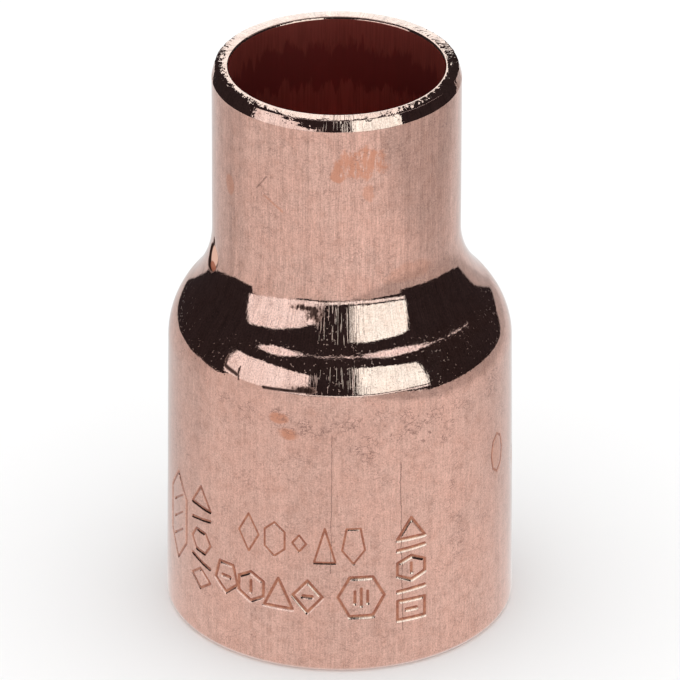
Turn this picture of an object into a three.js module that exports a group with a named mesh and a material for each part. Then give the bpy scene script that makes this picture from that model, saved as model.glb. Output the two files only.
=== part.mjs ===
// A drawn copper reducer for two tubes of different size that share one axis, joined by capillary soldering.
//
// Millimetres, +Z up. The origin is the centre of the large socket's end face, and +Z runs along the bore
// towards the small socket. The fitting is a single piece of tube, pressed to shape, so the model is one
// closed wall section turned about Z.

import * as THREE from 'three';

// Sockets: what each one takes, and the wall around it.
const LARGE_TUBE_DIAMETER = 22;
const SMALL_TUBE_DIAMETER = 15;
const SOLDER_GAP = 0.05; // between tube and bore, all round
const LARGE_SOCKET_WALL = 1.12;
const SMALL_SOCKET_WALL = 1.22;
const LARGE_SOCKET_DEPTH = 17.5; // end face to tube stop
const SMALL_SOCKET_DEPTH = 11.5;
const STOP_STEP = 0.28; // how much thicker the wall is past a tube stop than the thicker socket wall
const LARGE_STOP_LENGTH = 3.07; // straight bore between the tube stop and the shoulder
const SMALL_STOP_LENGTH = 0.93;
const MOUTH_DRAFT = 0.19; // the outside widens by this much, in radius, from the shoulder to the large mouth

// Shoulder: a hollow arc below the neck that runs smoothly into a round arc above the large socket.
const SHOULDER_LENGTH = 8.86;
const HOLLOW_TO_ROUND = 1.31; // ratio of the two arcs' outside radii

// Edges, as width in radius by height along the axis.
const LARGE_RIM_CHAMFER = { width: 0.36, height: 0.36 };
const SMALL_RIM_CHAMFER = { width: 0.32, height: 0.7 };
const LARGE_LEAD_IN = { width: 0.2, height: 0.3 };
const SMALL_LEAD_IN = { width: 0.1, height: 0.15 };

// How finely the round shapes are cut into flats.
const SIDES = 72;
const FLATS_PER_ARC = 7;

// Everything below follows from the sizes above.
const largeBore = LARGE_TUBE_DIAMETER / 2 + SOLDER_GAP;
const smallBore = SMALL_TUBE_DIAMETER / 2 + SOLDER_GAP;
const largeOutside = largeBore + LARGE_SOCKET_WALL;
const smallOutside = smallBore + SMALL_SOCKET_WALL;
const mouthOutside = largeOutside + MOUTH_DRAFT;
const shoulderWall = Math.max(LARGE_SOCKET_WALL, SMALL_SOCKET_WALL) + STOP_STEP;

const largeStop = LARGE_SOCKET_DEPTH;
const shoulderBottom = largeStop + LARGE_STOP_LENGTH;
const shoulderTop = shoulderBottom + SHOULDER_LENGTH;
const smallStop = shoulderTop + SMALL_STOP_LENGTH;
const topFace = smallStop + SMALL_SOCKET_DEPTH;

const shoulderDrop = largeOutside - smallOutside;
const shoulderSweep = 2 * Math.atan(shoulderDrop / SHOULDER_LENGTH);
const radiiTogether = SHOULDER_LENGTH / Math.sin(shoulderSweep);
const roundRadius = radiiTogether / (1 + HOLLOW_TO_ROUND);
const hollowRadius = radiiTogether - roundRadius;

// The shoulder's line at a depth below the outside surface, from the large part up to the neck.
// Both arcs keep their centres at every depth, so the wall has one thickness all the way.
function shoulderLine(depth) {
  const points = [];
  for (let i = 0; i <= FLATS_PER_ARC; i++) {
    const sweep = (shoulderSweep * i) / FLATS_PER_ARC;
    const radius = roundRadius - depth;
    points.push(
      new THREE.Vector2(
        largeOutside - roundRadius + radius * Math.cos(sweep),
        shoulderBottom + radius * Math.sin(sweep),
      ),
    );
  }
  for (let i = FLATS_PER_ARC - 1; i >= 0; i--) {
    const sweep = (shoulderSweep * i) / FLATS_PER_ARC;
    const radius = hollowRadius + depth;
    points.push(
      new THREE.Vector2(
        smallOutside + hollowRadius - radius * Math.cos(sweep),
        shoulderTop - radius * Math.sin(sweep),
      ),
    );
  }
  return points;
}

// The outside, from the large end's face up to the small end's face.
function outsideLine() {
  return [
    new THREE.Vector2(mouthOutside - LARGE_RIM_CHAMFER.width, 0),
    new THREE.Vector2(mouthOutside, LARGE_RIM_CHAMFER.height),
    ...shoulderLine(0),
    new THREE.Vector2(smallOutside, topFace - SMALL_RIM_CHAMFER.height),
    new THREE.Vector2(smallOutside - SMALL_RIM_CHAMFER.width, topFace),
  ];
}

// The inside, from the small end's face down to the large end's face, over both tube stops.
function insideLine() {
  const throat = shoulderLine(shoulderWall).reverse();
  return [
    new THREE.Vector2(smallBore + SMALL_LEAD_IN.width, topFace),
    new THREE.Vector2(smallBore, topFace - SMALL_LEAD_IN.height),
    new THREE.Vector2(smallBore, smallStop),
    new THREE.Vector2(throat.at(0).x, smallStop),
    ...throat,
    new THREE.Vector2(throat.at(-1).x, largeStop),
    new THREE.Vector2(largeBore, largeStop),
    new THREE.Vector2(largeBore, LARGE_LEAD_IN.height),
    new THREE.Vector2(largeBore + LARGE_LEAD_IN.width, 0),
  ];
}

// Going up the outside and down the inside makes the faces point out of the metal.
function reducerGeometry() {
  const section = [...outsideLine(), ...insideLine()];
  section.push(section[0].clone());
  return new THREE.LatheGeometry(section, SIDES).rotateX(Math.PI / 2);
}

function reducerBody() {
  const copper = new THREE.MeshStandardMaterial({
    color: new THREE.Color(0.72, 0.42, 0.33),
    roughness: 0.25,
    metalness: 1,
  });
  const body = new THREE.Mesh(reducerGeometry(), copper);
  body.name = 'reducer_body';
  return body;
}

const reducer = new THREE.Group();
reducer.add(reducerBody());

export default reducer;
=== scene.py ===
"""A drawn copper reducer for two tube sizes, standing on its large socket on a pale table.

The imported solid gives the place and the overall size. One finer mesh stands for it here: the same wall
section with rounded edges, the slight unevenness of drawn tube, and generic shapes pressed into its side.
Lengths in the shape functions are in millimetres; MM turns them into Blender's metres.
Azimuth is measured round Z from the front (-Y), positive towards +X.
"""

import math

import bpy
import numpy as np
from mathutils import Matrix, Vector


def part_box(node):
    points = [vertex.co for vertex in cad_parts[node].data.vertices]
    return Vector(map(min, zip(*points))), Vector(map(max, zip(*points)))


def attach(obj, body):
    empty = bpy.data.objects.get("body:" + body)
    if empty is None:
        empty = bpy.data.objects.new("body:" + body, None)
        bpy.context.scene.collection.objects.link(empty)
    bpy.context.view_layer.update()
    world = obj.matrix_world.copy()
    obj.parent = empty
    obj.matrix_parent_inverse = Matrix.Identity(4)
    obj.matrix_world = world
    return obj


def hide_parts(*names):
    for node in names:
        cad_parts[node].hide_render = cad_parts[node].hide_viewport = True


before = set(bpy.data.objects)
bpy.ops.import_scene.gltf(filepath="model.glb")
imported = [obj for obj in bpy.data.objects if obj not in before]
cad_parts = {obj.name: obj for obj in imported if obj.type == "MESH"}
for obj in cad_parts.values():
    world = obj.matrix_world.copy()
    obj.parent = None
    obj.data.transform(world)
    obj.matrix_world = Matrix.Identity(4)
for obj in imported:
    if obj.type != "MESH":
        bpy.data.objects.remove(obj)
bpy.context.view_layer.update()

MM = 0.001
NODE = "reducer_body"

# ---------------------------------------------------------------- sizes of the wall section, in millimetres
low_corner, high_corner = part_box(NODE)
LENGTH = (high_corner.z - low_corner.z) / MM
MOUTH_OUTSIDE = high_corner.x / MM

LARGE_BORE = 11.05
SMALL_BORE = 7.55
LARGE_WALL = 1.12
SMALL_WALL = 1.22
SHOULDER_WALL = 1.50
LARGE_STOP = 17.5
SMALL_SOCKET_DEPTH = 11.5
SHOULDER_BOTTOM = 20.57
SHOULDER_LENGTH = 8.86
HOLLOW_TO_ROUND = 1.31

LARGE_CHAMFER = 0.36       # width and height of the large rim's chamfer
LARGE_LEAD_WIDTH = 0.2
LARGE_LEAD_HEIGHT = 0.3
SMALL_LEAD_WIDTH = 0.1
SMALL_LEAD_HEIGHT = 0.15
BEVEL_WIDTH = 0.32         # the small rim's bevel, before it is made uneven
BEVEL_BOTTOM = LENGTH - 0.8
BEVEL_TOP = LENGTH - 0.1
RIM_CREST = SMALL_BORE + 0.22  # radius at which the small rim is highest

LARGE_OUTSIDE = LARGE_BORE + LARGE_WALL
SMALL_OUTSIDE = SMALL_BORE + SMALL_WALL
SHOULDER_TOP = SHOULDER_BOTTOM + SHOULDER_LENGTH
SMALL_STOP = LENGTH - SMALL_SOCKET_DEPTH

SWEEP = 2 * math.atan((LARGE_OUTSIDE - SMALL_OUTSIDE) / SHOULDER_LENGTH)
ROUND_RADIUS = SHOULDER_LENGTH / math.sin(SWEEP) / (1 + HOLLOW_TO_ROUND)
HOLLOW_RADIUS = ROUND_RADIUS * HOLLOW_TO_ROUND

# ---------------------------------------------------------------- how finely the mesh is cut
COLUMNS = 192
CELL = 0.4        # height of a cell on the lower wall, about as wide as a column
SPLIT = 6         # a cell under a stamped shape is cut into this many each way
ARC_STEPS = 36    # steps on each arc of the shoulder, outside
THROAT_STEPS = 12  # the same, inside


def shoulder_line(depth, steps):
    """The shoulder from bottom to top, at a depth below the outside, as (radius, height) pairs."""
    points = []
    for i in range(steps + 1):
        sweep = SWEEP * i / steps
        radius = ROUND_RADIUS - depth
        points.append((LARGE_OUTSIDE - ROUND_RADIUS + radius * math.cos(sweep),
                       SHOULDER_BOTTOM + radius * math.sin(sweep)))
    for i in range(steps - 1, -1, -1):
        sweep = SWEEP * i / steps
        radius = HOLLOW_RADIUS + depth
        points.append((SMALL_OUTSIDE + HOLLOW_RADIUS - radius * math.cos(sweep),
                       SHOULDER_TOP - radius * math.sin(sweep)))
    return points


def straight(start, end, step):
    """Points from start to end, both included, no further apart than step."""
    count = max(1, math.ceil(math.dist(start, end) / step))
    return [tuple(a + (b - a) * i / count for a, b in zip(start, end)) for i in range(count + 1)]


def rounded(points, radius, steps=4):
    """An open line with each inner corner replaced by a curve that starts at most radius away from it."""
    result = [points[0]]
    for before, corner, after in zip(points, points[1:], points[2:]):
        before, corner, after = (np.array(p) for p in (before, corner, after))
        into, out = before - corner, after - corner
        reach = min(radius, np.linalg.norm(into) * 0.45, np.linalg.norm(out) * 0.45)
        start = corner + into / np.linalg.norm(into) * reach
        end = corner + out / np.linalg.norm(out) * reach
        for i in range(steps + 1):
            t = i / steps
            result.append(tuple((1 - t) ** 2 * start + 2 * t * (1 - t) * corner + t * t * end))
    result.append(points[-1])
    return result


# How many points of each lead-in keep the outside's finish.
SMALL_LEAD_POINTS = 8
LARGE_LEAD_POINTS = 9


def wall_section():
    """The closed wall section, going up the outside and down the inside.

    Returns the points, the range of their numbers on the lower outside wall, how many are outside, and the
    range inside the bore.
    """
    rim_mid = (LARGE_BORE + MOUTH_OUTSIDE) / 2
    bottom_edge = rounded([
        (rim_mid, 0.0), (MOUTH_OUTSIDE - LARGE_CHAMFER, 0.0),
        (MOUTH_OUTSIDE, LARGE_CHAMFER), (MOUTH_OUTSIDE - 0.003, 0.9),
    ], 0.2)
    lower_wall = straight((MOUTH_OUTSIDE - 0.004, 1.0), (LARGE_OUTSIDE, SHOULDER_BOTTOM), CELL)
    upper_wall = straight((SMALL_OUTSIDE, SHOULDER_TOP), (SMALL_OUTSIDE, LENGTH - 1.2), 0.55)
    top_edge = rounded([
        (SMALL_OUTSIDE, LENGTH - 1.1), (SMALL_OUTSIDE, BEVEL_BOTTOM),
        (SMALL_OUTSIDE - BEVEL_WIDTH, BEVEL_TOP), (RIM_CREST, LENGTH),
    ], 0.03)
    small_lead = rounded([
        (RIM_CREST - 0.04, LENGTH), (SMALL_BORE + SMALL_LEAD_WIDTH, LENGTH),
        (SMALL_BORE, LENGTH - SMALL_LEAD_HEIGHT), (SMALL_BORE, LENGTH - 1.0),
    ], 0.06)
    throat = shoulder_line(SHOULDER_WALL, THROAT_STEPS)[::-1]
    small_stop = rounded([
        (SMALL_BORE, SMALL_STOP + 0.5), (SMALL_BORE, SMALL_STOP),
        (throat[0][0], SMALL_STOP), (throat[0][0], SMALL_STOP - 0.4),
    ], 0.1, 3)
    large_stop = rounded([
        (throat[-1][0], LARGE_STOP + 0.5), (throat[-1][0], LARGE_STOP),
        (LARGE_BORE, LARGE_STOP), (LARGE_BORE, LARGE_STOP - 0.5),
    ], 0.1, 3)
    small_wall = straight((SMALL_BORE, LENGTH - 1.5), (SMALL_BORE, SMALL_STOP + 1.0), 1.2)
    large_wall = straight((LARGE_BORE, LARGE_STOP - 1.0), (LARGE_BORE, 1.0), 1.2)
    large_lead = rounded([
        (LARGE_BORE, 0.7), (LARGE_BORE, LARGE_LEAD_HEIGHT),
        (LARGE_BORE + LARGE_LEAD_WIDTH, 0.0), (rim_mid - 0.1, 0.0),
    ], 0.1)
    outside = bottom_edge + lower_wall + shoulder_line(0, ARC_STEPS)[1:-1] + upper_wall + top_edge
    inside = small_lead + small_wall + small_stop + throat[1:-1] + large_stop + large_wall + large_lead
    first_stamped = len(bottom_edge)
    stampable = (first_stamped, first_stamped + len(lower_wall) - 1)
    bore = (len(outside) + SMALL_LEAD_POINTS, len(outside) + len(inside) - LARGE_LEAD_POINTS)
    return np.array(outside + inside), stampable, len(outside), bore


# ---------------------------------------------------------------- stamped shapes, all generic
# A shape is a list of lines, each a list of (across, up) points in millimetres about its own middle.

def outline(sides, width, height, turn=0.0):
    """A closed polygon that fills a box; turn is in degrees before it is fitted to the box."""
    angles = [math.radians(turn) + 2 * math.pi * i / sides for i in range(sides + 1)]
    xs = [math.sin(a) for a in angles]
    ys = [math.cos(a) for a in angles]
    return [((x - (max(xs) + min(xs)) / 2) * width / (max(xs) - min(xs)),
             (y - (max(ys) + min(ys)) / 2) * height / (max(ys) - min(ys))) for x, y in zip(xs, ys)]


def bar(x, y, length, slope):
    """A straight line centred at x, y, at an angle of slope degrees from level."""
    dx = math.cos(math.radians(slope)) * length / 2
    dy = math.sin(math.radians(slope)) * length / 2
    return [(x - dx, y - dy), (x + dx, y + dy)]


def moved(line, up):
    return [(x, y + up) for x, y in line]


def upper_row():
    """Five thin outlines in an even row, as (azimuth, lines)."""
    return [
        (-31.4, [outline(4, 1.6, 3.0)]),
        (-21.9, [outline(6, 1.5, 2.7)]),
        (-13.4, [outline(4, 1.0, 1.3)]),
        (-4.9, [outline(3, 1.5, 2.7)]),
        (4.6, [outline(5, 1.6, 2.8, 180)]),
    ]


def lower_row():
    """Four heavier outlines of one height, three of them with a bar inside, and a six-sided badge with three
    bars.
    """
    return [
        (-40.6, [outline(5, 2.0, 2.3, 180), bar(0, 0.1, 0.7, 0)]),
        (-30.6, [outline(6, 2.0, 2.3), bar(0, 0, 0.9, 90)]),
        (-20.6, [outline(3, 2.1, 2.3)]),
        (-10.6, [outline(4, 2.1, 2.5), bar(0, 0, 0.7, 0)]),
        (7.2, [outline(6, 3.3, 3.1, 30), bar(-0.45, 0, 0.9, 90), bar(0, 0, 1.3, 90), bar(0.45, 0, 0.9, 90)]),
    ]


def left_column():
    return [moved(outline(3, 2.2, 1.6), 3.0), bar(0, 1.2, 2.2, 12), moved(outline(6, 2.2, 1.6, 30), -0.6),
            bar(0, -2.2, 2.2, -12), moved(outline(4, 2.2, 1.6), -3.6)]


def right_column():
    return [moved(outline(3, 2.1, 1.6), 3.4), bar(0, 1.8, 2.1, 4), moved(outline(6, 2.1, 1.9), 0.2),
            bar(0, 0.2, 0.7, 90), bar(0, -1.5, 2.1, 4), moved(outline(4, 2.1, 1.5, 45), -3.1),
            bar(0, -3.1, 0.8, 0)]


def tall_badge(width, height):
    """A tall six-sided outline round three slanted bars."""
    bars = [bar(0, y, width * 0.62, 35) for y in (-height * 0.2, 0, height * 0.2)]
    return [outline(6, width, height)] + bars


def stamps():
    """Every stamped shape as (azimuth, height, lines, line width, depth)."""
    placed = [(azimuth, 10.25 - 0.006 * (azimuth + 14), lines, 0.25, 0.05) for azimuth, lines in upper_row()]
    placed += [(azimuth, 6.05, lines, 0.34, 0.09) for azimuth, lines in lower_row()]
    placed.append((-53.0, 8.5, left_column(), 0.30, 0.07))
    placed.append((-68.5, 8.5, tall_badge(2.7, 6.9), 0.28, 0.08))
    placed.append((24.4, 7.7, right_column(), 0.34, 0.085))
    placed.append((65.0, 13.9, [outline(8, 1.7, 3.0)], 0.3, 0.02))
    return placed


def stamp_segments():
    """All stamped lines as rows of numbers.

    Each is (azimuth in radians, start across, start height, end across, end height, half width, depth), with
    across in millimetres of arc from that azimuth.
    """
    rows = []
    for azimuth, height, lines, width, depth in stamps():
        for line in lines:
            for (x0, y0), (x1, y1) in zip(line, line[1:]):
                rows.append((math.radians(azimuth), x0, height + y0, x1, height + y1, width / 2, depth))
    return np.array(rows)


SEGMENTS = stamp_segments()


def stamp_at(angle, height):
    """The stamping at points on the lower wall.

    Returns how far it pushes in, how deep in a line the point is from 0 to 1, and how near a line is, less
    its half width. The metal pushed aside stands up as a low lip along each line.
    """
    push = np.zeros_like(angle)
    lip = np.zeros_like(angle)
    inside = np.zeros_like(angle)
    nearest = np.full_like(angle, 1e9)
    for azimuth, x0, y0, x1, y1, half, press in SEGMENTS:
        across = (np.mod(angle - azimuth + math.pi, 2 * math.pi) - math.pi) * LARGE_OUTSIDE
        dx, dy = x1 - x0, y1 - y0
        along = np.clip(((across - x0) * dx + (height - y0) * dy) / (dx * dx + dy * dy), 0, 1)
        distance = np.hypot(across - x0 - along * dx, height - y0 - along * dy)
        nearest = np.minimum(nearest, distance - half)
        groove = np.clip(1.2 - distance / half, 0, 1)
        groove = groove * groove * (3 - 2 * groove)
        push = np.maximum(push, press * groove)
        inside = np.maximum(inside, groove)
        lip = np.maximum(lip, 0.2 * press * np.exp(-((distance / half - 1.5) / 0.4) ** 2))
    return push - lip * (inside < 0.02), inside, nearest


# ---------------------------------------------------------------- small unevenness of the outside

# Slow waves, as (size, waves round the body, pitch along it, phase).
WAVES = [
    (0.00360, 3, 31.0, 0.4), (0.00252, 5, 14.0, 2.1), (0.00180, 8, 9.0, 4.0), (0.00132, 13, 7.0, 1.3),
    (0.00084, 21, 5.0, 5.2), (0.00060, 34, 23.0, 3.3), (0.00048, 29, 3.6, 0.9),
]


def waves(angle, height):
    """Slow waves left by drawing and pressing, in millimetres of radius."""
    total = np.zeros_like(angle)
    for size, lobes, pitch, phase in WAVES:
        total += size * np.sin(lobes * angle + phase + 2 * math.pi * height / pitch)
        total += size * 0.7 * np.cos(lobes * angle - 2 * phase - 2 * math.pi * height / (pitch * 1.37))
    return total


def dent(angle, height, azimuth, level, wide, tall, depth):
    """One shallow pressed spot."""
    across = (np.mod(angle - math.radians(azimuth) + math.pi, 2 * math.pi) - math.pi) * LARGE_OUTSIDE
    return depth * np.exp(-((across / wide) ** 2) - ((height - level) / tall) ** 2)


def sector(angle, start, end, soft):
    """1 between two azimuths in degrees, fading to 0 over soft degrees past each."""
    degrees = np.degrees(np.mod(angle + math.pi, 2 * math.pi) - math.pi)
    return 1 / (1 + np.exp((start - degrees) / (soft / 4))) / (1 + np.exp((degrees - end) / (soft / 4)))


def flat_spot(angle, height):
    """Left of the front, the hollow arc turns over a little early."""
    degrees = np.degrees(np.mod(angle + math.pi, 2 * math.pi) - math.pi)
    level = 26.56 - 0.0225 * np.abs(degrees)
    return -0.059 * np.tanh((height - level) / 0.75) * sector(angle, -54, -6, 4)


def lower_crease(angle, height):
    """A faint crease where the large socket's straight wall was pressed into the shoulder."""
    degrees = np.degrees(np.mod(angle + math.pi, 2 * math.pi) - math.pi)
    level = 22.0 + 0.3 * (np.clip(degrees, -60, 60) / 40) ** 2
    below = np.exp(-np.abs(height - level) / 0.7)
    above = np.exp(-((height - level) / 2.5) ** 2)
    return 0.036 * np.where(height < level, below, above) * sector(angle, -75, 26, 8)


def middle_crease(angle, height):
    """A faint crease where the two arcs of the shoulder meet: the hollow arc starts a little less steep."""
    level = SHOULDER_BOTTOM + ROUND_RADIUS * math.sin(SWEEP) - 0.12
    above = np.exp(-np.abs(height - level) / 0.35)
    below = np.exp(-((height - level) / 2.5) ** 2)
    return -0.006 * np.where(height > level, above, below) * sector(angle, -62, 75, 8)


SMALL_SOCKET_SHIFT = -0.26


def lean(height):
    """How far this height's centre sits off the large socket's axis, in millimetres along X."""
    share = np.clip((height - SHOULDER_BOTTOM) / SHOULDER_LENGTH, 0, 1)
    return SMALL_SOCKET_SHIFT * share * share * (3 - 2 * share)


def deburred(angle, radius, height):
    """How much further out the top rim's corner stands than in the section, in millimetres.

    The rim was bevelled by hand: most at the front, hardly at all behind, and a little unevenly.
    """
    up_bevel = (height - BEVEL_BOTTOM) / (BEVEL_TOP - BEVEL_BOTTOM)
    across_rim = (radius - RIM_CREST) / (SMALL_OUTSIDE - BEVEL_WIDTH - RIM_CREST)
    share = np.clip(np.minimum(up_bevel, across_rim), 0, 1) * (height > BEVEL_BOTTOM)
    ripple = np.sin(37 * angle + 1) + np.sin(53 * angle + 2) + np.sin(71 * angle) + np.sin(13 * angle)
    return (0.095 - 0.175 * np.cos(angle) + 0.010 * ripple) * share

# Dents, as (azimuth, height, half width, half height, depth).
DENTS = [
    (-76, 27.9, 0.9, 0.9, 0.05),   # under the painted leaf reflection at the left of the neck
    (-60, 13.5, 1.6, 1.2, 0.012),
    (12, 17.0, 1.8, 1.5, 0.010),
    (85, 11.4, 0.4, 0.7, 0.15),    # a knock at the right
]


def offset(angle, height):
    """How far the outside stands off the true section, in millimetres, outwards."""
    total = waves(angle, height)
    total += flat_spot(angle, height) + lower_crease(angle, height) + middle_crease(angle, height)
    for place in DENTS:
        total -= dent(angle, height, *place)
    return total


# ---------------------------------------------------------------- building the mesh

class BodyMesh:
    """A grid of section points by columns, with the cells under stamped lines cut finer."""

    def __init__(self):
        self.section, self.stampable, self.outside_count, self.bore = wall_section()
        self.count = len(self.section)
        self.keys = {}
        self.rows = []
        self.faces = []
        self.materials = []
        self.fine = self.find_fine_cells()

    def find_fine_cells(self):
        """The cells that a stamped line touches."""
        first, last = self.stampable
        rows = np.arange(first, last)
        middle_height = (self.section[rows, 1] + self.section[rows + 1, 1]) / 2
        middle_angle = (np.arange(COLUMNS) + 0.5) * 2 * math.pi / COLUMNS
        heights, angles = np.meshgrid(middle_height, middle_angle, indexing="ij")
        near = stamp_at(angles, heights)[2] < CELL * 0.95
        return {(int(rows[i]), int(j)) for i, j in zip(*np.nonzero(near))}

    def point(self, i, j):
        """The number of the point at fine coordinates i along the section and j round it."""
        key = (i % (self.count * SPLIT), j % (COLUMNS * SPLIT))
        if key not in self.keys:
            self.keys[key] = len(self.rows)
            self.rows.append(key)
        return self.keys[key]

    def add_face(self, i, corners):
        """A face in section row i: material 1 inside the bore, 0 elsewhere."""
        self.faces.append(corners)
        self.materials.append(1 if self.bore[0] <= i < self.bore[1] else 0)

    def add_cell(self, i, j):
        """One cell, whole, cut into a fine grid, or fanned to meet finer neighbours."""
        a, b = i * SPLIT, j * SPLIT
        if (i, j) in self.fine:
            for p in range(SPLIT):
                for q in range(SPLIT):
                    self.add_face(i, (self.point(a + p, b + q), self.point(a + p, b + q + 1),
                                      self.point(a + p + 1, b + q + 1), self.point(a + p + 1, b + q)))
            return
        below = (i - 1, j) in self.fine
        above = (i + 1, j) in self.fine
        left = (i, (j - 1) % COLUMNS) in self.fine
        right = (i, (j + 1) % COLUMNS) in self.fine
        steps = range(SPLIT)
        ring = [self.point(a, b + s) for s in (steps if below else (0,))]
        ring += [self.point(a + s, b + SPLIT) for s in (steps if right else (0,))]
        ring += [self.point(a + SPLIT, b + SPLIT - s) for s in (steps if above else (0,))]
        ring += [self.point(a + SPLIT - s, b) for s in (steps if left else (0,))]
        if len(ring) == 4:
            self.add_face(i, tuple(ring))
            return
        middle = self.point(a + SPLIT // 2, b + SPLIT // 2)
        for start, end in zip(ring, ring[1:] + ring[:1]):
            self.add_face(i, (middle, start, end))

    def positions(self):
        """Every point's place in metres, and how deep it is stamped, from 0 to 1."""
        grid = np.array(self.rows, float) / SPLIT
        base = np.floor(grid[:, 0]).astype(int)
        part = (grid[:, 0] - base)[:, None]
        place = self.section[base] * (1 - part) + self.section[(base + 1) % self.count] * part
        before = self.section[(base - 1) % self.count]
        after = self.section[(base + 1) % self.count]
        way = after - before
        normal = np.stack([way[:, 1], -way[:, 0]], 1) / np.linalg.norm(way, axis=1)[:, None]
        angle = grid[:, 1] * 2 * math.pi / COLUMNS
        radius, height = place[:, 0], place[:, 1]
        on_outside = (base < self.outside_count).astype(float)
        fade = np.clip((height - 0.6) / 1.2, 0, 1) * np.clip((LENGTH - 0.9 - height) / 1.5, 0, 1)
        depth, inside, _ = stamp_at(angle, height)
        push = (offset(angle, height) * fade - depth * (height < SHOULDER_BOTTOM)) * on_outside
        radius = radius + normal[:, 0] * push + deburred(angle, radius, height) * on_outside
        height = height + normal[:, 1] * push
        points = np.stack([radius * np.sin(angle) + lean(height), -radius * np.cos(angle), height], 1) * MM
        return points, inside * on_outside * (height < SHOULDER_BOTTOM)

    def build(self, name):
        for i in range(self.count):
            for j in range(COLUMNS):
                self.add_cell(i, j)
        points, pressed = self.positions()
        mesh = bpy.data.meshes.new(name)
        mesh.from_pydata(points.tolist(), [], self.faces)
        mesh.shade_smooth()
        mesh.polygons.foreach_set("material_index", self.materials)
        stored = mesh.attributes.new("pressed", "FLOAT", "POINT")
        stored.data.foreach_set("value", pressed.astype(np.float32))
        body = bpy.data.objects.new(name, mesh)
        bpy.context.scene.collection.objects.link(body)
        return body


# ---------------------------------------------------------------- materials

class Nodes:
    """A short way to write a node tree."""

    def __init__(self, tree):
        self.tree = tree
        tree.nodes.clear()

    def add(self, kind, values=None, **settings):
        """A node, with its settings, and its inputs as numbers, colours or other nodes' outputs."""
        node = self.tree.nodes.new(kind)
        for name, value in settings.items():
            setattr(node, name, value)
        for key, value in (values or {}).items():
            if isinstance(value, bpy.types.NodeSocket):
                self.tree.links.new(value, node.inputs[key])
            else:
                node.inputs[key].default_value = value
        return node

    def math(self, operation, a, b=0.0, clamp=False):
        return self.add("ShaderNodeMath", {0: a, 1: b}, operation=operation, use_clamp=clamp).outputs[0]

    def vector(self, operation, a, b):
        return self.add("ShaderNodeVectorMath", {0: a, 1: b}, operation=operation).outputs[0]

    def noise(self, vector, scale, detail=2.0, roughness=0.5):
        inputs = {"Vector": vector, "Scale": scale, "Detail": detail, "Roughness": roughness}
        return self.add("ShaderNodeTexNoise", inputs).outputs["Fac"]

    def ramp(self, value, low, high):
        """0 below low, 1 above high, smooth between."""
        inputs = {"Value": value, "From Min": low, "From Max": high}
        return self.add("ShaderNodeMapRange", inputs, interpolation_type="SMOOTHSTEP").outputs[0]

    def mix(self, share, a, b):
        node = self.add("ShaderNodeMix", data_type="RGBA")
        for key, value in ((0, share), (6, a), (7, b)):
            if isinstance(value, bpy.types.NodeSocket):
                self.tree.links.new(value, node.inputs[key])
            else:
                node.inputs[key].default_value = value
        return node.outputs[2]

    def product(self, first, *others):
        """Several numbers multiplied."""
        result = first
        for other in others:
            result = self.math("MULTIPLY", result, other)
        return result

    def bump(self, height, distance, normal=None):
        inputs = {"Height": height, "Distance": distance, "Strength": 1.0}
        if normal is not None:
            inputs["Normal"] = normal
        return self.add("ShaderNodeBump", inputs).outputs[0]


def new_material(name):
    """An empty material, and the short way to write its nodes."""
    material = bpy.data.materials.new(name)
    material.use_nodes = True
    return material, Nodes(material.node_tree)


def colour(r, g, b):
    return (r, g, b, 1.0)


COPPER = colour(0.625, 0.368, 0.298)
COPPER_PALE = colour(0.680, 0.415, 0.340)
COPPER_RED = colour(0.600, 0.330, 0.255)
DARK_TARNISH = colour(0.22, 0.12, 0.10)
ORANGE_RUB = colour(0.60, 0.25, 0.15)
# deep red of the stamped grooves, and of the foot of the painted leaf reflection
GROOVE_AND_REFLECTION_RED = colour(0.30, 0.100, 0.060)
# near black: real stains and scratches, and the painted shadow at the left of the neck
SOOT_AND_SHADOW = colour(0.024, 0.012, 0.010)
GROOVE_ORANGE = colour(0.46, 0.185, 0.110)
# the colour of the painted leaf reflection at the left of the neck
LEAF_REFLECTION = colour(0.66, 0.40, 0.31)
# the bore's painted shade and painted reflection: a dark ragged band, lighter above and below it
BORE_PAINTED_SHADE = colour(0.28, 0.048, 0.042)
BORE_PAINTED_REFLECTION = colour(0.41, 0.088, 0.068)
BORE_LINE = colour(0.24, 0.046, 0.038)


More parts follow.
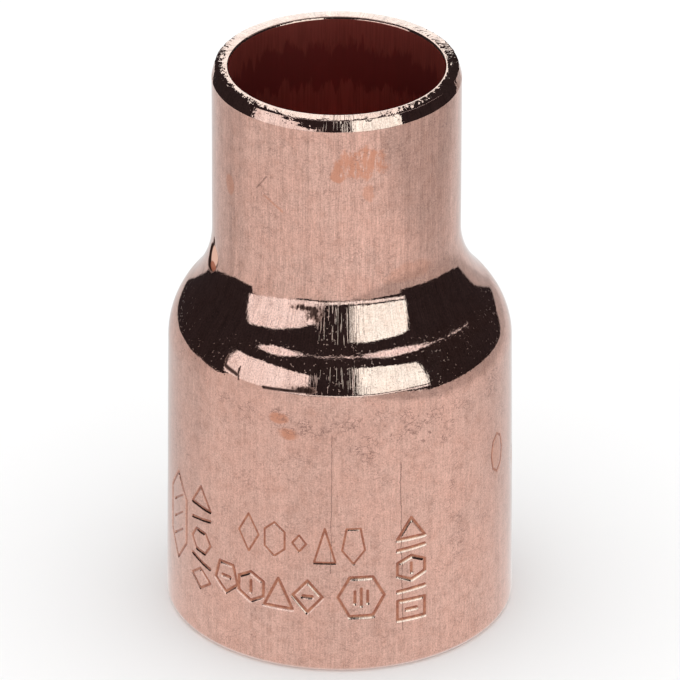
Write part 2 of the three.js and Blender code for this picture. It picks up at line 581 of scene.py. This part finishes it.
class SurfacePlace:
    """Where a point of the body is, as node outputs: in millimetres, and wrapped round the axis."""

    def __init__(self, nodes):
        place = nodes.add("ShaderNodeTexCoord").outputs["Object"]
        self.mm = nodes.vector("MULTIPLY", place, (1 / MM,) * 3)
        parts = nodes.add("ShaderNodeSeparateXYZ", {0: self.mm})
        self.x, self.y, self.height = parts.outputs
        flat = nodes.vector("MULTIPLY", self.mm, (1.0, 1.0, 0.0))
        outward = nodes.add("ShaderNodeVectorMath", {0: flat}, operation="NORMALIZE").outputs[0]
        self.around = nodes.vector("MULTIPLY", outward, (LARGE_OUTSIDE,) * 3)
        self.angle = nodes.math("ARCTAN2", self.x, nodes.math("MULTIPLY", self.y, -1.0))
        self.nodes = nodes

    def drawn(self, stretch):
        """Coordinates that change fast round the body and slowly along it, for lines left by drawing."""
        along = self.nodes.math("MULTIPLY", self.height, 1 / stretch)
        lift = self.nodes.add("ShaderNodeCombineXYZ", {"Z": along}).outputs[0]
        return self.nodes.vector("ADD", self.around, lift)

    def spot(self, azimuth, level, wide, tall, edge_noise, ragged_by=1.6, blur=0.6):
        """1 in the middle of a ragged patch, 0 outside it."""
        nodes = self.nodes
        turn = nodes.math("SUBTRACT", self.angle, math.radians(azimuth))
        across = nodes.math("MULTIPLY", turn, LARGE_OUTSIDE / wide)
        up = nodes.math("MULTIPLY", nodes.math("SUBTRACT", self.height, level), 1 / tall)
        squares = nodes.math("ADD", nodes.product(across, across), nodes.product(up, up))
        distance = nodes.math("SQRT", squares)
        noise = nodes.math("MULTIPLY", nodes.math("SUBTRACT", edge_noise, 0.5), ragged_by)
        ragged = nodes.math("ADD", distance, noise)
        return nodes.math("SUBTRACT", 1.0, nodes.ramp(ragged, 1.0 - blur * 0.75, 1.0 + blur * 0.25))

    def stroke(self, start, end, width, wobble=None):
        """1 on a thin line between two (azimuth, height) places, 0 off it."""
        nodes = self.nodes
        first = Vector((math.radians(start[0]) * LARGE_OUTSIDE, start[1], 0.0))
        way = Vector((math.radians(end[0]) * LARGE_OUTSIDE, end[1], 0.0)) - first
        across = nodes.math("MULTIPLY", self.angle, LARGE_OUTSIDE)
        if wobble is not None:
            bend = nodes.math("MULTIPLY", nodes.math("SUBTRACT", wobble, 0.5), width * 6)
            across = nodes.math("ADD", across, bend)
        here = nodes.add("ShaderNodeCombineXYZ", {0: across, 1: self.height}).outputs[0]
        from_first = nodes.vector("SUBTRACT", here, first)
        scaled_way = way / way.length_squared
        dot = nodes.add("ShaderNodeVectorMath", {0: from_first, 1: scaled_way}, operation="DOT_PRODUCT")
        share = nodes.math("ADD", dot.outputs["Value"], 0.0, clamp=True)
        along = nodes.add("ShaderNodeVectorMath", {0: tuple(way), "Scale": share}, operation="SCALE")
        off = nodes.vector("SUBTRACT", from_first, along.outputs[0])
        distance = nodes.add("ShaderNodeVectorMath", {0: off}, operation="LENGTH").outputs["Value"]
        return nodes.math("SUBTRACT", 1.0, nodes.ramp(distance, width * 0.3, width))

    def either(self, *shares):
        """The largest of several."""
        result = shares[0]
        for share in shares[1:]:
            result = self.nodes.math("MAXIMUM", result, share)
        return result

    def near_azimuth(self, azimuth, reach):
        """1 at an azimuth, fading to 0 over reach degrees each way."""
        nodes = self.nodes
        away = nodes.math("ABSOLUTE", nodes.math("SUBTRACT", self.angle, math.radians(azimuth)))
        return nodes.math("SUBTRACT", 1.0, nodes.ramp(away, math.radians(reach * 0.6), math.radians(reach)))


class DrawingMarks:
    """The marks of drawing that both the colour and the relief follow, as noise."""

    def __init__(self, nodes, place):
        self.lines = nodes.noise(place.drawn(30.0), 7.0, 3.0, 0.65)
        self.broad_lines = nodes.noise(place.drawn(45.0), 1.3, 2.0, 0.5)
        self.grain = nodes.noise(place.mm, 9.0, 2.0, 0.6)


def add_patterns(nodes, total, patterns):
    """A number plus several noises, each taken round 0 and times its strength."""
    for pattern, strength in patterns:
        swing = nodes.math("SUBTRACT", pattern, 0.5)
        total = nodes.math("ADD", total, nodes.math("MULTIPLY", swing, strength))
    return total


def drawn_tone(nodes, place, marks):
    """The clean metal's colour: fine lengthwise lines, grain and a soft drift of tone."""
    hair_lines = nodes.noise(place.drawn(14.0), 15.0, 1.0, 0.5)
    cloud = nodes.noise(place.mm, 1.3, 4.0, 0.6)
    wide_cloud = nodes.noise(place.mm, 0.35, 3.0, 0.55)
    tone = nodes.mix(nodes.ramp(wide_cloud, 0.35, 0.65), COPPER_PALE, COPPER)
    tone = nodes.mix(nodes.math("MULTIPLY", nodes.ramp(cloud, 0.45, 0.75), 0.5), tone, COPPER_RED)
    streaks = add_patterns(nodes, 0.0, [(marks.lines, 0.62), (hair_lines, 0.66), (marks.broad_lines, 0.40)])
    marked = nodes.math("ADD", 0.55, nodes.math("MULTIPLY", nodes.ramp(place.height, 20.0, 30.0), 0.45))
    shade = nodes.math("ADD", 1.0, nodes.math("MULTIPLY", streaks, marked))
    shade = add_patterns(nodes, shade, [(marks.grain, 0.98), (cloud, -0.34), (wide_cloud, 0.45)])
    grey = nodes.add("ShaderNodeCombineXYZ", {0: shade, 1: shade, 2: shade}).outputs[0]
    return nodes.vector("MULTIPLY", tone, grey)


def veins(nodes, coordinates, scale, detail, inner, outer):
    """Thin winding lines where a noise crosses its middle value."""
    away = nodes.math("ABSOLUTE", nodes.math("SUBTRACT", nodes.noise(coordinates, scale, detail, 0.6), 0.5))
    return nodes.math("SUBTRACT", 1.0, nodes.ramp(away, inner, outer))


def tarnish(nodes, place, edge):
    """Thin dark veins and specks: sparse everywhere, dense in a sooty band and down one smear."""
    stretched = nodes.vector("MULTIPLY", place.mm, (1.0, 1.0, 1.6))
    long_vein = veins(nodes, stretched, 0.55, 4.0, 0.0, 0.015)
    short_vein = veins(nodes, stretched, 1.5, 3.0, 0.006, 0.034)
    speck = nodes.ramp(nodes.noise(place.mm, 3.4, 2.0, 0.6), 0.63, 0.69)
    broken = nodes.ramp(nodes.noise(place.mm, 0.75, 2.0, 0.5), 0.43, 0.53)
    worn = nodes.ramp(nodes.noise(place.mm, 0.30, 2.0, 0.5), 0.42, 0.54)
    sooty = place.either(
        place.spot(-31.0, 20.4, 3.6, 0.6, edge),
        place.spot(-11.0, 19.7, 3.0, 1.1, edge),
        place.spot(21.0, 19.4, 7.6, 1.4, edge),
        place.spot(8.5, 17.7, 1.7, 1.0, edge),
        place.spot(34.0, 17.9, 2.0, 1.2, edge),
    )
    smear = place.either(
        place.spot(42.0, 10.6, 1.1, 4.3, edge, 2.2),
        place.spot(62.0, 19.8, 1.6, 1.2, edge, 2.0),
    )
    dirty = nodes.math("MAXIMUM", sooty, nodes.product(smear, 0.8))
    sparse = place.either(nodes.product(long_vein, broken, worn, 0.62), nodes.product(speck, 0.38))
    dense = place.either(nodes.product(short_vein, broken, dirty), nodes.product(speck, dirty, 0.8))
    veil = nodes.product(dirty, nodes.ramp(edge, 0.35, 0.65), 0.12)
    return place.either(sparse, dense, veil)


def orange_patches(nodes, place, edge):
    """Where the metal was rubbed or held: redder patches with ragged edges."""
    flecked = nodes.ramp(nodes.noise(place.drawn(2.5), 2.6, 3.0, 0.6), 0.34, 0.50)
    top_patch = place.either(
        place.spot(-1.0, 37.9, 0.75, 0.8, edge, 2.0, 0.35),
        place.spot(9.5, 38.5, 2.6, 1.25, edge, 2.2, 0.4),
    )
    small = place.either(
        place.spot(-20.4, 20.0, 0.75, 0.5, edge, 1.2, 0.4),
        place.spot(-17.5, 18.9, 0.8, 0.5, edge),
    )
    oval = nodes.product(place.spot(-59.0, 34.9, 0.75, 0.85, edge, 0.6, 0.35), 0.75)
    edge_mark = nodes.product(place.spot(65.0, 13.9, 1.0, 1.7, edge), 0.5)
    drag = nodes.product(place.stroke((-36.5, 35.3), (-27.0, 34.4), 0.14, edge), 0.7)
    low_glow = nodes.product(place.spot(35.0, 29.3, 3.4, 0.8, edge), 0.4)
    mid_spot = nodes.product(place.spot(13.0, 36.2, 0.6, 0.7, edge, 2.2, 0.4), 0.6)
    top_patch = nodes.product(top_patch, flecked)
    return place.either(top_patch, small, oval, edge_mark, drag, low_glow, mid_spot)


def scratches(nodes, place, edge):
    """Dark scratches and stains, each where handling left it."""
    fine_edge = nodes.noise(nodes.vector("MULTIPLY", place.mm, (1.0, 1.0, 0.45)), 3.4, 3.0, 0.7)
    lines = place.either(
        place.stroke((21.2, 3.0), (20.4, 16.5), 0.055, edge),
        place.stroke((-3.0, 8.0), (-2.6, 19.0), 0.045, edge),
        place.stroke((-41.2, 35.7), (-35.3, 36.8), 0.10, edge),
    )
    hook = place.either(
        place.stroke((-42.5, 23.4), (-42.9, 22.75), 0.14, edge),
        place.stroke((-42.9, 22.75), (-37.4, 22.45), 0.20, edge),
        place.stroke((-36.9, 23.0), (-36.3, 22.2), 0.15, edge),
    )
    upper_smudge = place.either(
        place.spot(-14.6, 27.30, 1.45, 0.22, fine_edge, 3.2, 0.8),
        place.spot(-11.6, 26.95, 0.75, 0.55, fine_edge, 3.2, 0.8),
    )
    lower_wedge = place.either(
        place.spot(-12.5, 22.36, 1.0, 0.28, fine_edge, 2.6, 0.8),
        place.stroke((-26.0, 22.12), (-10.0, 22.28), 0.17, edge),
    )
    streaks = nodes.math("MULTIPLY", nodes.noise(place.drawn(4.0), 5.0, 2.0, 0.6), 0.36)
    streaky = nodes.math("ADD", 0.80, streaks)
    stains = nodes.math("MULTIPLY", place.either(upper_smudge, lower_wedge), streaky, clamp=True)
    return place.either(nodes.product(lines, 0.50), nodes.product(hook, 0.95), stains)


def painted_leaf_reflection(nodes, place, edge, base):
    """A painted reflection of a small leaf-shaped thing at the left of the neck, over a shallow dent: pale
    orange, redder below, with a painted shadow as a dark outline.

    Returns the colour, and the share of the surface that is dull here, which is the painted shadow.
    """
    shadow = place.either(
        place.spot(-77.5, 27.75, 1.75, 1.0, edge, 0.3, 0.2),
        place.stroke((-80.5, 27.6), (-78.5, 28.9), 0.5),
    )
    # painted reflection: a pale leaf shape, with a redder patch at its foot
    leaf_reflection = place.spot(-75.2, 27.95, 1.10, 0.80, edge, 0.3, 0.2)
    reflection_foot = place.spot(-74.0, 27.30, 1.0, 0.30, edge, 0.5, 0.3)
    # painted shadow round the painted leaf reflection
    base = nodes.mix(shadow, base, SOOT_AND_SHADOW)
    base = nodes.mix(leaf_reflection, base, LEAF_REFLECTION)
    # the painted reflection's redder foot
    base = nodes.mix(nodes.product(reflection_foot, 0.9), base, GROOVE_AND_REFLECTION_RED)
    return base, shadow


def outside_relief(nodes, place, marks):
    """The outside's fine relief as a normal: drawing lines, small bright dots, rim burrs and a scratch."""
    front = place.near_azimuth(1.0, 14.0)
    rim = nodes.ramp(place.height, LENGTH - 1.0, LENGTH - 0.6)
    round_arc = nodes.math("SUBTRACT", 1.0, nodes.ramp(place.height, 24.2, 25.4))
    uneven = nodes.noise(place.mm, 1.7, 3.0, 0.6)
    lines = nodes.product(marks.lines, nodes.math("ADD", 0.25, nodes.product(front, 0.75)))
    deep_hair = nodes.ramp(nodes.noise(place.drawn(14.0), 9.0, 1.0, 0.5), 0.56, 0.72)
    deep_hair = nodes.product(deep_hair, front)
    dots = nodes.ramp(nodes.noise(place.mm, 5.5, 1.0, 0.5), 0.69, 0.75)
    dots = nodes.product(dots, nodes.math("MAXIMUM", front, nodes.product(round_arc, 0.8)))
    burrs = nodes.product(nodes.noise(place.mm, 2.0, 2.0, 0.5), rim)
    light_scratch = place.stroke((5.4, 24.9), (4.5, 22.2), 0.06)
    normal = nodes.bump(marks.grain, 0.0009 * MM)
    for relief, depth in (
        (uneven, 0.0045), (marks.broad_lines, 0.0025), (lines, 0.0050), (deep_hair, 0.0040),
        (dots, 0.006), (burrs, 0.028), (light_scratch, 0.014),
    ):
        normal = nodes.bump(relief, depth * MM, normal)
    return normal


def metal(nodes, inputs):
    """Ends a material with a metal surface."""
    surface = nodes.add("ShaderNodeBsdfPrincipled", {"Specular IOR Level": 0.0, **inputs}).outputs[0]
    nodes.add("ShaderNodeOutputMaterial", {"Surface": surface})


def copper_outside():
    """Bright drawn copper with tarnish, rubbed patches, scratches and stamped lines."""
    material, nodes = new_material("drawn_copper_outside")
    place = SurfacePlace(nodes)
    marks = DrawingMarks(nodes, place)
    edge = nodes.noise(place.mm, 0.9, 5.0, 0.7)

    base = drawn_tone(nodes, place, marks)
    base = nodes.mix(nodes.product(orange_patches(nodes, place, edge), 0.72), base, ORANGE_RUB)
    dirt = tarnish(nodes, place, edge)
    base = nodes.mix(nodes.product(dirt, 0.74), base, DARK_TARNISH)
    stains = scratches(nodes, place, edge)
    base = nodes.mix(stains, base, SOOT_AND_SHADOW)
    # a painted reflection with a painted shadow round it, at the left of the neck
    base, painted_shadow = painted_leaf_reflection(nodes, place, edge, base)
    pressed = nodes.add("ShaderNodeAttribute", attribute_name="pressed").outputs["Fac"]
    redder = nodes.ramp(nodes.noise(place.mm, 2.2, 3.0, 0.6), 0.35, 0.62)
    groove = nodes.mix(redder, GROOVE_ORANGE, GROOVE_AND_REFLECTION_RED)
    base = nodes.mix(nodes.product(nodes.ramp(pressed, 0.22, 0.95), 0.92), base, groove)

    # the stains, and the painted shadow at the left of the neck, are dull
    metallic = nodes.math("SUBTRACT", 1.0, place.either(nodes.product(stains, 0.9), painted_shadow))
    rough = nodes.math("ADD", 0.030, nodes.product(dirt, 0.15))
    rough = nodes.math("ADD", rough, nodes.product(pressed, 0.26))
    normal = outside_relief(nodes, place, marks)
    metal(nodes, {"Base Color": base, "Metallic": metallic, "Roughness": rough, "Normal": normal})
    return material


def copper_bore():
    """The inside: duller and redder, with drawn lines, and a darker ragged band of painted shade below the
    mouth.
    """
    material, nodes = new_material("drawn_copper_bore")
    place = SurfacePlace(nodes)
    lines = nodes.noise(place.drawn(25.0), 6.0, 3.0, 0.6)
    ragged = nodes.math("SUBTRACT", nodes.noise(place.drawn(4.0), 0.9, 4.0, 0.65), 0.5)
    depth = nodes.math("SUBTRACT", LENGTH, place.height)
    depth = nodes.math("ADD", depth, nodes.product(ragged, 5.0))
    # painted reflection of the opening: lighter near the mouth and deeper down, painted shade between
    lit_below_mouth = nodes.math("SUBTRACT", 1.0, nodes.ramp(depth, 1.7, 2.4))
    lit_deeper_down = nodes.ramp(depth, 5.0, 5.5)
    base = nodes.mix(nodes.math("MAXIMUM", lit_below_mouth, lit_deeper_down), BORE_PAINTED_SHADE, BORE_PAINTED_REFLECTION)
    base = nodes.mix(nodes.product(nodes.ramp(lines, 0.42, 0.62), 0.40), base, BORE_LINE)
    normal = nodes.bump(lines, 0.006 * MM)
    metal(nodes, {"Base Color": base, "Metallic": 0.80, "Roughness": 0.40, "Normal": normal})
    return material


# ---------------------------------------------------------------- the piece

def make_body():
    builder = BodyMesh()
    body = builder.build("copper_reducer")
    body.data.materials.append(copper_outside())
    body.data.materials.append(copper_bore())
    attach(body, "root")
    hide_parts(NODE)
    return body


# ---------------------------------------------------------------- table, surroundings and camera

def direction(azimuth, elevation):
    """A unit vector from the object."""
    a, e = math.radians(azimuth), math.radians(elevation)
    return Vector((math.sin(a) * math.cos(e), -math.cos(a) * math.cos(e), math.sin(e)))


def only_seen_by(thing, camera=False, diffuse=False, glossy=False):
    thing.visible_camera = camera
    thing.visible_diffuse = diffuse
    thing.visible_glossy = glossy
    thing.visible_transmission = False
    thing.visible_volume_scatter = False
    thing.visible_shadow = False


def plain_mesh(name, corners):
    mesh = bpy.data.meshes.new(name)
    mesh.from_pydata([tuple(c) for c in corners], [], [tuple(range(len(corners)))])
    thing = bpy.data.objects.new(name, mesh)
    bpy.context.scene.collection.objects.link(thing)
    return thing


def matt(name, shade):
    material, nodes = new_material(name)
    surface = nodes.add("ShaderNodeBsdfDiffuse", {"Color": colour(*shade)}).outputs[0]
    nodes.add("ShaderNodeOutputMaterial", {"Surface": surface})
    return material


def glowing(name, strength, shade):
    material, nodes = new_material(name)
    surface = nodes.add("ShaderNodeEmission", {"Color": colour(*shade), "Strength": strength}).outputs[0]
    nodes.add("ShaderNodeOutputMaterial", {"Surface": surface})
    return material


def soft_card(name, facing, left, right, low, high, shade, distance=1.2):
    """A glowing upright rectangle seen only in reflections.

    facing is the azimuth that it squarely faces; left and right are azimuths of its sides, and low and high
    the elevations of its edges straight ahead. shade is a colour and may be brighter than white.
    """
    ahead = direction(facing, 0)
    beside = direction(facing + 90, 0)
    base = Vector((0, 0, SHOULDER_BOTTOM * MM))
    corners = []
    for azimuth, elevation in ((left, low), (right, low), (right, high), (left, high)):
        across = distance * math.tan(math.radians(azimuth - facing))
        up = distance * math.tan(math.radians(elevation))
        corners.append(base + ahead * distance + beside * across + Vector((0, 0, up)))
    card = plain_mesh(name, corners)
    card.data.materials.append(glowing(name, 1.0, shade))
    only_seen_by(card, glossy=True)


BACK_LIGHT = (1.5, 1.9, 2.0)

# The edge of the small table that reflections see, as (azimuth in degrees, distance from the axis in metres).
TABLE_EDGE = [
    (-165, 0.30), (-153, 0.145), (-143, 0.115), (-120, 0.11), (-97, 0.125), (-77, 0.15), (-75, 0.36),
    (-50, 0.38), (-36, 0.34), (-31, 0.275), (-20, 0.29), (0, 0.335), (20, 0.335), (40, 0.28), (56, 0.24),
    (57, 0.17), (76, 0.155), (99, 0.135), (128, 0.115), (133, 0.185), (137, 0.60), (165, 1.5), (195, 1.5),
]

# The lower edge of the hoop light overhead, as (azimuth, elevation).
HOOP_EDGE = [
    (-85, 60), (-76, 50), (-69, 42.5), (-60, 42.5), (-50, 44.5), (-40, 48.5), (-25, 53), (-8, 54), (10, 54),
    (20, 53.3), (40, 49), (52, 46), (68, 42.5), (83, 39), (100, 31.6), (108, 27.4), (114, 24),
]


HOOP_DISTANCE = 1.3
HOOP_DEPTH = 14  # degrees from its lower edge to its upper edge


def hoop_light():
    """A curved strip light overhead, seen only in reflections."""
    base = Vector((0, 0, SHOULDER_BOTTOM * MM))
    low = [base + direction(a, e) * HOOP_DISTANCE for a, e in HOOP_EDGE]
    high = [base + direction(a, e + HOOP_DEPTH) * HOOP_DISTANCE for a, e in HOOP_EDGE]
    count = len(low)
    mesh = bpy.data.meshes.new("hoop_light")
    faces = [(i, i + 1, count + i + 1, count + i) for i in range(count - 1)]
    mesh.from_pydata([tuple(p) for p in low + high], [], faces)
    hoop = bpy.data.objects.new("hoop_light", mesh)
    bpy.context.scene.collection.objects.link(hoop)
    hoop.data.materials.append(glowing("hoop_light", 1.0, (1.30, 1.50, 1.62)))
    only_seen_by(hoop, glossy=True)


def pale_table():
    """Matt and pale, with painted shade towards both sides, a painted shadow of the object behind it, and a
    little painted light just right of the middle.
    """
    material, nodes = new_material("pale_table")
    place = nodes.add("ShaderNodeTexCoord").outputs["Object"]
    x, y, _ = nodes.add("ShaderNodeSeparateXYZ", {0: place}).outputs
    # painted shadow of the object on the table behind it
    shadowed_behind = nodes.ramp(y, -0.012, 0.018)
    # painted shade towards the far right, a little less behind, and towards the far left
    far_right = nodes.ramp(x, 0.046, 0.074)
    right_painted_shade = nodes.product(far_right, nodes.math("SUBTRACT", 0.29, nodes.product(shadowed_behind, 0.08)))
    left_painted_shade = nodes.product(nodes.ramp(x, -0.040, -0.080), 0.06)
    # painted light: a little brighter just right of the middle
    shade = nodes.math("ADD", 0.875, nodes.product(nodes.ramp(x, 0.0, 0.020), 0.055))
    for drop in (right_painted_shade, left_painted_shade, nodes.product(shadowed_behind, 0.165)):
        shade = nodes.math("SUBTRACT", shade, drop)
    paint = nodes.add("ShaderNodeCombineXYZ", {0: shade, 1: shade, 2: shade}).outputs[0]
    surface = nodes.add("ShaderNodeBsdfDiffuse", {"Color": paint}).outputs[0]
    nodes.add("ShaderNodeOutputMaterial", {"Surface": surface})
    return material


FLOOR_REACH = 6.0
STUDIO_RADIUS = 9.0


def make_tables():
    """A wide pale floor for the eye, and a smaller table for reflections."""
    corners = [(x * FLOOR_REACH, y * FLOOR_REACH, 0) for x, y in ((-1, -1), (1, -1), (1, 1), (-1, 1))]
    floor = plain_mesh("floor", corners)
    floor.data.materials.append(matt("pale_floor", (0.90, 0.90, 0.90)))
    only_seen_by(floor, camera=True, diffuse=True)

    table = plain_mesh("table_in_reflections", [direction(a, 0) * distance for a, distance in TABLE_EDGE])
    table.data.materials.append(pale_table())
    only_seen_by(table, glossy=True)


def make_lights():
    """Soft lights seen in reflections, and the dark studio round them."""
    soft_card("left_soft_light", -50, -79, -20, -4.2, 31.0, (1.28, 1.48, 1.58))
    soft_card("right_soft_light", 14, 12.5, 60, 1.4, 40.5, (1.55, 2.12, 2.22))
    soft_card("low_strip_light", 18, -25, 60, -3.6, -0.6, (1.35, 1.65, 1.75))
    soft_card("back_soft_light", 180, 176, 187, -5, 52, BACK_LIGHT)
    soft_card("back_high_light", 180, 171.5, 189, 38.5, 52, BACK_LIGHT, 1.21)
    soft_card("back_low_light", 180, 172.5, 188, -5, 21.5, BACK_LIGHT, 1.21)
    hoop_light()

    bpy.ops.mesh.primitive_uv_sphere_add(segments=32, ring_count=16, radius=STUDIO_RADIUS)
    studio = bpy.context.object
    studio.name = "dark_studio"
    studio.data.materials.append(glowing("dark_studio", 0.034, (1.0, 0.88, 0.98)))
    only_seen_by(studio, glossy=True)


def make_world():
    """A plain white sky that lights the scene and doesn't show in reflections."""
    world = bpy.data.worlds.new("pale_sky")
    bpy.context.scene.world = world
    world.use_nodes = True
    nodes = Nodes(world.node_tree)
    sky = nodes.add("ShaderNodeBackground", {"Color": colour(1.0, 1.0, 1.0), "Strength": 1.20}).outputs[0]
    nodes.add("ShaderNodeOutputWorld", {"Surface": sky})
    world.cycles_visibility.glossy = False


CAMERA_ELEVATION = 28.34
CAMERA_DISTANCE = 0.7596  # from the axis at LOOK_HEIGHT
LOOK_HEIGHT = 0.018
AIM = Vector((0.0, 0.0, 0.02007))
LENS = 566.7
CAMERA_ROLL = 0.1


def make_camera():
    data = bpy.data.cameras.new("camera")
    data.lens = LENS
    data.sensor_width = 36.0
    data.clip_start = 0.05
    data.clip_end = 50.0
    camera = bpy.data.objects.new("camera", data)
    bpy.context.scene.collection.objects.link(camera)
    camera.location = Vector((0, 0, LOOK_HEIGHT)) + direction(0, CAMERA_ELEVATION) * CAMERA_DISTANCE
    look = (AIM - camera.location).to_track_quat("-Z", "Y").to_matrix().to_4x4()
    roll = Matrix.Rotation(math.radians(CAMERA_ROLL), 4, "Z")
    camera.matrix_world = Matrix.Translation(camera.location) @ look @ roll
    bpy.context.scene.camera = camera


make_camera()
make_body()
make_tables()
make_lights()
make_world()
bpy.context.scene.view_settings.view_transform = "Standard"
